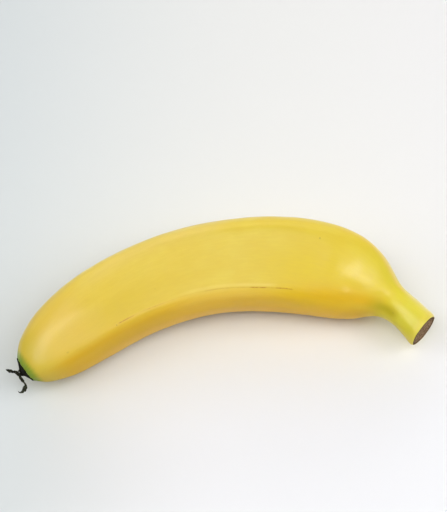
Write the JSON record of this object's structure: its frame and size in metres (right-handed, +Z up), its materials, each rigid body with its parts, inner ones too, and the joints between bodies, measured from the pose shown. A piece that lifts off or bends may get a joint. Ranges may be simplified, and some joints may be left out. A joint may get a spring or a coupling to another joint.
{
  "type": "banana",
  "caption": "Ripe yellow banana lying on its side: a curved, five-ridged fruit with a cut stem and the dry black remains of its flower at the tip.",
  "frame": {"origin": "centre of the footprint, on the surface the fruit lies on", "axes": "+X along the length from the flower tip to the stem, +Y towards the outer curve, +Z up"},
  "size_m": [0.1674, 0.0706, 0.0405],
  "materials": {
    "peel": "smooth waxy peel, satin, green at the tip and the stem, dry brown on the cut face",
    "dried_flower": "dry, dull and fibrous"
  },
  "bodies": {
    "root": {"fruit": "peel", "blossom_scar": "dried_flower", "dried_style": "dried_flower", "dried_tepal": "dried_flower"}
  },
  "joints": []
}
